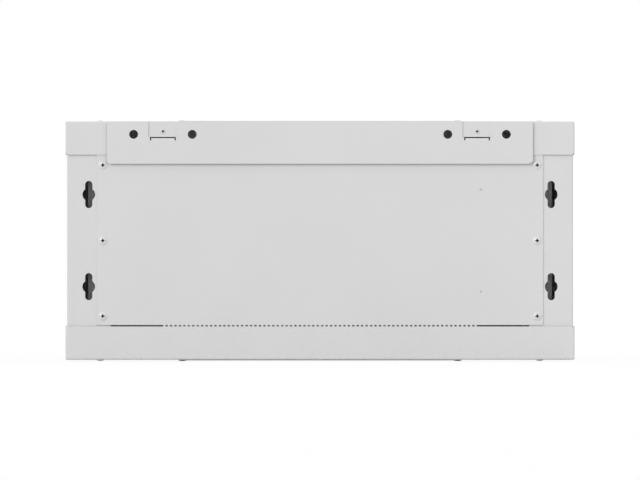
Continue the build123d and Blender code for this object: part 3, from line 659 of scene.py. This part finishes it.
bolt_head = 0.011
bolt_rise = 0.0033
bolt_thread = 0.006
bolt_length = 0.0085
bolt_recess = 0.0056
nut_width = 0.010
nut_height = 0.005
nut_chamfer = 0.6
nut_face = 0.96
nut_corner_clear = 1.02
nut_edge_share = 0.01
nut_sides = 6
zinc_colour = "#C9CACB"
zinc_shade = "#B9BBBD"
zinc_cloud_mm = 3
zinc_streak_mm = 0.3
zinc_streak_depth = 0.000004
zinc_smoothest = 0.2
zinc_roughest = 0.34
seam_distance = 0.000002


def plated(name, light, shade, low_roughness, high_roughness):
    """A plated metal whose bath left faint streaks and clouds in colour and gloss."""
    finish = new_finish(name)
    place = add(finish, "TexCoord").outputs["Object"]
    clouds = add(finish, "TexNoise", {"Vector": place, "Scale": 1000 / zinc_cloud_mm, "Detail": 2.0})
    streaks = add(finish, "TexNoise", {"Vector": place, "Scale": 1000 / zinc_streak_mm, "Detail": 1.0})
    tone = add(
        finish, "MixRGB", {"Fac": clouds.outputs["Fac"], "Color1": linear(light), "Color2": linear(shade)}
    )
    sheen = add(
        finish,
        "MapRange",
        {"Value": clouds.outputs["Fac"], "To Min": low_roughness, "To Max": high_roughness},
    )
    bump = add(finish, "Bump", {"Height": streaks.outputs["Fac"], "Distance": zinc_streak_depth})
    return show(
        finish,
        add(
            finish,
            "BsdfPrincipled",
            {
                "Base Color": tone.outputs["Color"],
                "Metallic": 1.0,
                "Roughness": sheen.outputs["Result"],
                "Normal": bump.outputs["Normal"],
            },
        ),
    )


def turned(profile, filled=True):
    """Turn a section, given as radius and height, about Z: a circle that is drawn up ring by ring."""
    radius, height = profile[0]
    bpy.ops.object.select_all(action="DESELECT")
    bpy.ops.mesh.primitive_circle_add(
        vertices=screw_facets,
        radius=radius,
        location=(0, 0, height),
        fill_type="NGON" if filled else "NOTHING",
    )
    piece = bpy.context.object
    bpy.ops.object.transform_apply()
    bpy.ops.object.mode_set(mode="EDIT")
    bpy.context.tool_settings.mesh_select_mode = (True, False, False)
    bpy.ops.mesh.select_all(action="SELECT")
    for next_radius, next_height in profile[1:] if filled else profile[1:] + profile[:1]:
        bpy.ops.mesh.extrude_region_move(TRANSFORM_OT_translate={"value": (0, 0, next_height - height)})
        scale = next_radius / radius
        bpy.ops.transform.resize(value=(scale, scale, 1), center_override=(0, 0, next_height))
        radius, height = next_radius, next_height
    bpy.ops.mesh.select_all(action="SELECT")
    bpy.ops.mesh.remove_doubles(threshold=seam_distance)
    bpy.ops.mesh.normals_make_consistent(inside=False)
    bpy.ops.object.mode_set(mode="OBJECT")
    return piece


def hexagon_nut(width, height, bore, finish):
    """A nut standing on z = 0, its corners chamfered at both ends by turning, and bored through."""
    corner = width / sqrt(3)
    bpy.ops.object.select_all(action="DESELECT")
    bpy.ops.mesh.primitive_cylinder_add(
        vertices=nut_sides, radius=corner, depth=height, location=(0, 0, height / 2)
    )
    nut = bpy.context.object
    bpy.ops.transform.rotate(value=pi / nut_sides, orient_axis="Z", center_override=(0, 0, 0))
    bpy.ops.object.transform_apply()
    chamfer = (corner - width / 2) * nut_chamfer
    face = width / 2 * nut_face
    clear = corner * nut_corner_clear
    cut(nut, turned([(face, 0), (clear, chamfer), (clear, height - chamfer), (face, height)]), "INTERSECT")
    cut(nut, turned([(bore / 2, -height), (bore / 2, 2 * height)]))
    soften(nut, width * nut_edge_share)
    nut.data.materials.append(finish)
    return nut


zinc = plated("bright_zinc_plated_steel", zinc_colour, zinc_shade, zinc_smoothest, zinc_roughest)
low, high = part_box("rack_rail_bolts")
reach = bolt_head / 2
corners = [(x, y) for x in (low.x + reach, high.x - reach) for y in (low.y + reach, high.y - reach)]
places = [Matrix.Translation((x, y, low.z + bolt_length)) for x, y in corners]
places += [Matrix.Translation((x, y, high.z - bolt_length)) @ upside_down for x, y in corners]
bolt = cross_head_screw(bolt_head, bolt_rise, bolt_thread, bolt_length, bolt_recess, zinc, zinc)
place_copies(bolt, "rack_rail_bolt", places, "case", "rack_rail_bolts")
low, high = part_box("rack_rail_nuts")
places = [Matrix.Translation((x, y, z)) for x, y in corners for z in (low.z, high.z - nut_height)]
nut = hexagon_nut(nut_width, nut_height, bolt_thread, zinc)
place_copies(nut, "rack_rail_nut", places, "case", "rack_rail_nuts")
coat(zinc, "back_panel_studs", "depth_rail_rivets")

# Earthing stud and nut.
# A zinc-plated steel stud with a rolled thread for the cabinet's earth wire, with its nut.
# Its head is pressed flush into the bottom tray, and its thread stands up inside.

earth_thread = 0.006
earth_nut_width = 0.010
earth_nut_height = 0.005
thread_pitch = 0.001
thread_root = 0.9
thread_runout = thread_pitch / 4
thread_edge = thread_pitch / 20


def thread_outline(radius, start, end):
    """The outline of a thread between two heights: a root and a crest for each turn."""
    turns = int((end - start) / thread_pitch)
    outline = [(radius * thread_root, start)]
    for turn in range(turns):
        outline.append((radius, start + (turn + 1 / 2) * thread_pitch))
        outline.append((radius * thread_root, start + (turn + 1) * thread_pitch))
    return outline


def middle_of(node):
    """The middle of a CAD piece's box."""
    low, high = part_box(node)
    return (low + high) / 2


low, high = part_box("earth_stud")
shank = thread_outline(earth_thread / 2, low.z + thread_pitch, high.z - thread_runout)
stud = turned([(earth_thread / 2, low.z), (earth_thread / 2, low.z + thread_pitch / 2)] + shank)
soften(stud, thread_edge)
stud.data.materials.append(zinc)
axis = middle_of("earth_stud")
place_copies(
    stud,
    "earth_stud_threaded",
    [Matrix.Translation((axis.x, axis.y, 0))],
    "case",
    "earth_stud",
)
nut = hexagon_nut(earth_nut_width, earth_nut_height, earth_thread, zinc)
places = [Matrix.Translation((axis.x, axis.y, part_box("earth_nut")[0].z))]
place_copies(nut, "earth_nut_hexagon", places, "case", "earth_nut")

# Door glass and its tape.
# One pane of grey-tinted tempered glass, its edges ground, bonded behind the door by black foam tape.
# It dims what lies behind it, and its flat face mirrors the room with a slight roller wave.

glass_tint = "#B4BBB9"
glass_shadow = "#D4DAD8"
ground_edge = 0.4
roller_wave_mm = 120
roller_wave_depth = 0.00008
glass_ior = 1.52
tape_colour = "#161617"
tape_cell_mm = 0.8
tape_cell_depth = 0.0001
tape_smoothest = 0.75
tape_roughest = 0.95

glass = new_finish("tinted_tempered_glass")
pane_place = add(glass, "TexCoord")
place = pane_place.outputs["Object"]
wave = add(glass, "TexNoise", {"Vector": place, "Scale": 1000 / roller_wave_mm, "Detail": 0.0})
rolled = add(glass, "Bump", {"Height": wave.outputs["Fac"], "Distance": roller_wave_depth})
facing = add(glass, "SeparateXYZ", {"Vector": pane_place.outputs["Normal"]})
flatness = add(glass, "Math", {0: facing.outputs["Y"]}, operation="ABSOLUTE")
sheen = add(glass, "MapRange", {"Value": flatness.outputs[0], "To Min": ground_edge, "To Max": 0.0})
pane = add(
    glass,
    "BsdfPrincipled",
    {
        "Base Color": linear(glass_tint),
        "Transmission Weight": 1.0,
        "IOR": glass_ior,
        "Roughness": sheen.outputs["Result"],
        "Normal": rolled.outputs["Normal"],
    },
)
ray = add(glass, "LightPath")
dimmed = add(glass, "BsdfTransparent", {"Color": linear(glass_shadow)})
shown = add(
    glass, "MixShader", {0: ray.outputs["Is Shadow Ray"], 1: pane.outputs[0], 2: dimmed.outputs[0]}
)
show(glass, shown)
coat(glass, "door_glass")

foam = new_finish("black_foam_tape")
place = add(foam, "TexCoord").outputs["Object"]
cells = add(foam, "TexVoronoi", {"Vector": place, "Scale": 1000 / tape_cell_mm})
dimples = add(foam, "Bump", {"Height": cells.outputs["Distance"], "Distance": tape_cell_depth})
sheen = add(
    foam,
    "MapRange",
    {"Value": cells.outputs["Distance"], "To Min": tape_smoothest, "To Max": tape_roughest},
)
show(
    foam,
    add(
        foam,
        "BsdfPrincipled",
        {
            "Base Color": linear(tape_colour),
            "Roughness": sheen.outputs["Result"],
            "Normal": dimples.outputs["Normal"],
        },
    ),
)
coat(foam, "door_glass_tape")

# Quarter-turn locks of the door and of both side panels.
# Die-cast zinc, turned and chromed: a barrel with a rounded head, a plug with its key slot and a thread.
# A hexagon nut clamps the barrel, and a screw holds the stamped, zinc-plated cam on the plug.

door_lock_head = 0.022
door_lock_rise = 0.003
door_lock_barrel = 0.018
door_lock_plug = 0.012
side_lock_head = 0.020
side_lock_rise = 0.0014
side_lock_barrel = 0.016
side_lock_plug = 0.010
plug_clearance = 0.00005
lock_nut_wall = 0.003
lock_nut_height = 0.003
cam_screw_head = 0.008
cam_screw_rise = 0.0016
cam_screw_thread = 0.004
cam_screw_length = 0.006
cam_screw_recess = 0.004
chrome_colour = "#D5D7D9"
chrome_shade = "#C6C9CC"
chrome_smoothest = 0.07
chrome_roughest = 0.13
rounds_per_rise = 3
round_shoulder = 0.3
edges_per_rise = 30

chrome = plated("polished_chrome", chrome_colour, chrome_shade, chrome_smoothest, chrome_roughest)
to_front = Matrix.Rotation(pi / 2, 4, "X")
to_right = Matrix.Rotation(pi / 2, 4, "Y")
to_left = Matrix.Rotation(-pi / 2, 4, "Y")


def lock_barrel(head, rise, barrel, length, plug):
    """A lock's housing with the panel's face at z = 0: a rounded head above and a thread below."""
    bore = plug / 2 + plug_clearance
    round_off = rise / rounds_per_rise
    shoulder = round_off * round_shoulder
    outline = [(bore, -length)]
    outline += thread_outline(barrel / 2, -length, -2 * thread_pitch)
    outline += [(barrel / 2, -thread_pitch), (barrel / 2, 0), (head / 2, 0), (head / 2, rise - round_off)]
    outline += [(head / 2 - shoulder, rise - shoulder), (head / 2 - round_off, rise)]
    outline += [(bore + round_off, rise), (bore, rise - round_off / 2)]
    housing = turned(outline, filled=False)
    soften(housing, rise / edges_per_rise)
    housing.data.materials.append(chrome)
    return housing


def put(piece, name, spot, turn, body, node):
    """Place one finished piece, turned as given, instead of a CAD piece."""
    place_copies(piece, name, [Matrix.Translation(spot) @ turn], body, node)


def cam_fastener():
    """The small pan-head screw that holds a cam."""
    return cross_head_screw(
        cam_screw_head, cam_screw_rise, cam_screw_thread, cam_screw_length, cam_screw_recess, zinc, zinc
    )


low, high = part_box("door_lock_barrel")
spot = middle_of("door_lock_barrel")
spot.y = low.y + door_lock_rise
length = high.y - spot.y
housing = lock_barrel(door_lock_head, door_lock_rise, door_lock_barrel, length, door_lock_plug)
put(housing, "door_lock_housing", spot, to_front, "door", "door_lock_barrel")
spot.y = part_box("door_lock_nut")[0].y
nut = hexagon_nut(door_lock_barrel + 2 * lock_nut_wall, lock_nut_height, door_lock_barrel, zinc)
put(nut, "door_lock_hexagon", spot, to_wall, "door", "door_lock_nut")
spot.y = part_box("door_lock_cam_screw")[1].y - cam_screw_rise
fastener = cam_fastener()
put(fastener, "door_cam_screw", spot, to_wall, "door_lock", "door_lock_cam_screw")

for side, way, outwards, inwards in (("right", 1, to_right, to_left), ("left", 0, to_left, to_right)):
    node = f"side_lock_barrel_{side}"
    spot = middle_of(node)
    outer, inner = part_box(node)[way].x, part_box(node)[1 - way].x
    rise = side_lock_rise if way else -side_lock_rise
    spot.x = outer - rise
    length = abs(spot.x - inner)
    housing = lock_barrel(side_lock_head, side_lock_rise, side_lock_barrel, length, side_lock_plug)
    put(housing, f"side_lock_housing_{side}", spot, outwards, f"side_panel_{side}", node)
    node = f"side_lock_nut_{side}"
    spot.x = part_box(node)[0].x
    nut = hexagon_nut(side_lock_barrel + 2 * lock_nut_wall, lock_nut_height, side_lock_barrel, zinc)
    body = f"side_panel_{side}"
    put(nut, f"side_lock_hexagon_{side}", spot, to_right, body, node)
    node = f"side_lock_cam_screw_{side}"
    rise = cam_screw_rise if way else -cam_screw_rise
    spot.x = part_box(node)[1 - way].x + rise
    body = f"side_lock_{side}"
    put(cam_fastener(), f"side_cam_screw_{side}", spot, inwards, body, node)
coat(chrome, "door_lock_plug", "side_lock_plug_right", "side_lock_plug_left")
coat(zinc, "door_lock_cam", "side_lock_cam_right", "side_lock_cam_left")

# Hinge pins, bushes and spring.
# Turned and zinc-plated steel pins run in moulded nylon bushes in the trays' ears.
# A coil spring of drawn wire holds the upper pin up, and closes up as the pin is pulled down.

spring_wire = 0.0009
spring_turns = 5
wire_facets = 12
turn_facets = 24
wire_smooth_angle = radians(50)
nylon_colour = "#E6E4DC"
nylon_haze_mm = 2
nylon_smoothest = 0.38
nylon_roughest = 0.52
nylon_glow = 0.3
nylon_light_reach = (0.002, 0.0018, 0.0014)
wire_colour = "#A9A8A4"
wire_line_mm = 0.15
wire_smoothest = 0.22
wire_roughest = 0.4

nylon = new_finish("moulded_natural_nylon")
place = add(nylon, "TexCoord").outputs["Object"]
haze = add(nylon, "TexNoise", {"Vector": place, "Scale": 1000 / nylon_haze_mm, "Detail": 2.0})
sheen = add(
    nylon,
    "MapRange",
    {"Value": haze.outputs["Fac"], "To Min": nylon_smoothest, "To Max": nylon_roughest},
)
show(
    nylon,
    add(
        nylon,
        "BsdfPrincipled",
        {
            "Base Color": linear(nylon_colour),
            "Roughness": sheen.outputs["Result"],
            "Subsurface Weight": nylon_glow,
            "Subsurface Radius": nylon_light_reach,
            "Subsurface Scale": 1.0,
        },
    ),
)
coat(nylon, "hinge_bush_top", "hinge_bush_bottom")
coat(zinc, "hinge_pin_upper", "hinge_pin_lower")

drawn = new_finish("drawn_spring_steel")
place = add(drawn, "TexCoord").outputs["Object"]
lines = add(drawn, "TexNoise", {"Vector": place, "Scale": 1000 / wire_line_mm, "Detail": 1.0})
sheen = add(
    drawn, "MapRange", {"Value": lines.outputs["Fac"], "To Min": wire_smoothest, "To Max": wire_roughest}
)
show(
    drawn,
    add(
        drawn,
        "BsdfPrincipled",
        {"Base Color": linear(wire_colour), "Metallic": 1.0, "Roughness": sheen.outputs["Result"]},
    ),
)
low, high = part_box("hinge_pin_spring")
axis = middle_of("hinge_pin_spring")
coil_radius = (high.x - low.x - spring_wire) / 2
bpy.ops.object.select_all(action="DESELECT")
bpy.ops.mesh.primitive_circle_add(
    vertices=wire_facets,
    radius=spring_wire / 2,
    location=(coil_radius, 0, low.z + spring_wire / 2),
    rotation=(pi / 2, 0, 0),
)
spring = bpy.context.object
spring.name = "hinge_pin_coil"
bpy.ops.object.transform_apply()
winding = spring.modifiers.new("winding", "SCREW")
winding.screw_offset = (high.z - low.z - spring_wire) / spring_turns
winding.iterations = spring_turns
winding.steps = turn_facets
winding.render_steps = turn_facets
bpy.ops.object.modifier_apply(modifier=winding.name)
bpy.ops.object.mode_set(mode="EDIT")
bpy.context.tool_settings.mesh_select_mode = (False, True, False)
bpy.ops.mesh.select_all(action="DESELECT")
bpy.ops.mesh.select_non_manifold()
bpy.ops.mesh.fill_holes(sides=wire_facets)
bpy.ops.mesh.select_all(action="SELECT")
bpy.ops.mesh.normals_make_consistent(inside=False)
bpy.ops.object.mode_set(mode="OBJECT")
bpy.ops.object.shade_smooth_by_angle(angle=wire_smooth_angle)
spring.data.transform(Matrix.Translation((axis.x, axis.y, 0)))
spring.data.materials.append(drawn)
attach(spring, "door")
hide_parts("hinge_pin_spring")
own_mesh(spring)

# Door bumpers.
# Small domed buttons of moulded black rubber, their stems pushed into holes in the trays' front flanges.

bumper_width = 0.011
bumper_stem = 0.005
bumper_stem_length = 0.0012
bumper_dome = 0.0018
dome_steps = 6
bumper_edge = bumper_dome / 20
rubber_colour = "#1C1C1D"
rubber_grain_mm = 0.5
rubber_grain_depth = 0.00002
rubber_smoothest = 0.55
rubber_roughest = 0.75

rubber = new_finish("moulded_black_rubber")
place = add(rubber, "TexCoord").outputs["Object"]
grain = add(rubber, "TexNoise", {"Vector": place, "Scale": 1000 / rubber_grain_mm, "Detail": 2.0})
sheen = add(
    rubber,
    "MapRange",
    {"Value": grain.outputs["Fac"], "To Min": rubber_smoothest, "To Max": rubber_roughest},
)
bump = add(rubber, "Bump", {"Height": grain.outputs["Fac"], "Distance": rubber_grain_depth})
show(
    rubber,
    add(
        rubber,
        "BsdfPrincipled",
        {
            "Base Color": linear(rubber_colour),
            "Roughness": sheen.outputs["Result"],
            "Normal": bump.outputs["Normal"],
        },
    ),
)
low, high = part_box("door_bumpers")
seat = high.y - bumper_stem_length
height = seat - low.y
outline = [(bumper_stem / 2, -bumper_stem_length), (bumper_stem / 2, 0), (bumper_width / 2, 0)]
for step in range(dome_steps + 1):
    angle = step / dome_steps * pi / 2
    radius = bumper_width / 2 - bumper_dome * (1 - cos(angle))
    outline.append((radius, height - bumper_dome * (1 - sin(angle))))
bumper = turned(outline)
soften(bumper, bumper_edge)
bumper.data.materials.append(rubber)
reach = bumper_width / 2
places = [
    Matrix.Translation((x, seat, z)) @ to_front
    for x in (low.x + reach, high.x - reach)
    for z in (low.z + reach, high.z - reach)
]
place_copies(bumper, "door_bumper", places, "case", "door_bumpers")

# Floor.
# A plain pale sheet of paper under and around the cabinet, which is not part of it.
# It is white to the camera and a quiet grey as a reflector, and it keeps the cabinet's shadow.

floor_size = 60
floor_colour = "#EDEDED"
floor_reflector = "#D8D8D8"
floor_white_share = 0.93

bpy.ops.object.select_all(action="DESELECT")
bpy.ops.mesh.primitive_plane_add(size=floor_size, location=(0, 0, 0))
floor = bpy.context.object
floor.name = "floor"
paper = new_finish("matt_white_paper")
ray = add(paper, "LightPath")
seen = add(
    paper,
    "Math",
    {0: ray.outputs["Is Camera Ray"], 1: ray.outputs["Is Glossy Ray"]},
    operation="MAXIMUM",
)
through = {0: seen.outputs[0], 1: ray.outputs["Is Transmission Ray"]}
seen = add(paper, "Math", through, operation="MAXIMUM")
share = add(paper, "Math", {0: seen.outputs[0], 1: floor_white_share}, operation="MULTIPLY")
tone = add(
    paper,
    "MixRGB",
    {"Fac": seen.outputs[0], "Color1": linear(floor_reflector), "Color2": linear(floor_colour)},
)
matt = add(paper, "BsdfDiffuse", {"Color": tone.outputs["Color"]})
glow = add(paper, "Emission", {"Color": (1, 1, 1, 1), "Strength": 1.0})
show(paper, add(paper, "MixShader", {0: share.outputs[0], 1: matt.outputs[0], 2: glow.outputs[0]}))
floor.data.materials.append(paper)

# Studio light.
# A large soft lamp above the left as one faces the back, and a like one in front of the door.
# An even pale room lights every side, and shows white behind the cabinet.

room_level = 0.85
key_level = 0.95
fill_level = 0.95
lamp_spread = 0.45
lamp_height = 2
key_towards = (-0.72, -1.0, -0.48)
fill_towards = (0.5, 1.0, -0.7)

room = bpy.data.worlds.new("pale_room")
bpy.context.scene.world = room
room.use_nodes = True
room.node_tree.nodes.clear()
ray = add(room, "LightPath")
seen = add(
    room,
    "Math",
    {0: ray.outputs["Is Camera Ray"], 1: ray.outputs["Is Glossy Ray"]},
    operation="MAXIMUM",
)
through = {0: seen.outputs[0], 1: ray.outputs["Is Transmission Ray"]}
seen = add(room, "Math", through, operation="MAXIMUM")
soft = add(room, "Background", {"Color": (1, 1, 1, 1), "Strength": room_level})
white = add(room, "Background", {"Color": (1, 1, 1, 1), "Strength": 1.0})
backdrop = add(room, "MixShader", {0: seen.outputs[0], 1: soft.outputs[0], 2: white.outputs[0]})
add(room, "OutputWorld", {"Surface": backdrop.outputs[0]})


def lamp(name, towards, level):
    """A far soft lamp that shines in a direction."""
    bpy.ops.object.light_add(type="SUN", location=(0, 0, lamp_height))
    light = bpy.context.object
    light.name = name
    light.rotation_euler = Vector(towards).to_track_quat("-Z", "Y").to_euler()
    light.data.energy = level
    light.data.angle = lamp_spread


lamp("key_lamp", key_towards, key_level)
lamp("fill_lamp", fill_towards, fill_level)

# Camera.
# Square to the back at the cabinet's middle height. It stands far off with a long lens, because the
# photographed view is nearly parallel: screws well in from the rear edge still show over the trays.

camera_lens = 900
camera_sensor = 36
camera_reach = 18.853
camera_rise = 0.0007

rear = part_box("rear_top_plate")[1].y
centre_z = (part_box("bottom_tray")[0].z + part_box("top_tray")[1].z) / 2
bpy.ops.object.camera_add(
    location=(0, rear + camera_reach, centre_z + camera_rise), rotation=(pi / 2, 0, pi)
)
camera = bpy.context.object
camera.data.lens = camera_lens
camera.data.sensor_width = camera_sensor
bpy.context.scene.camera = camera
bpy.context.scene.view_settings.view_transform = "Standard"
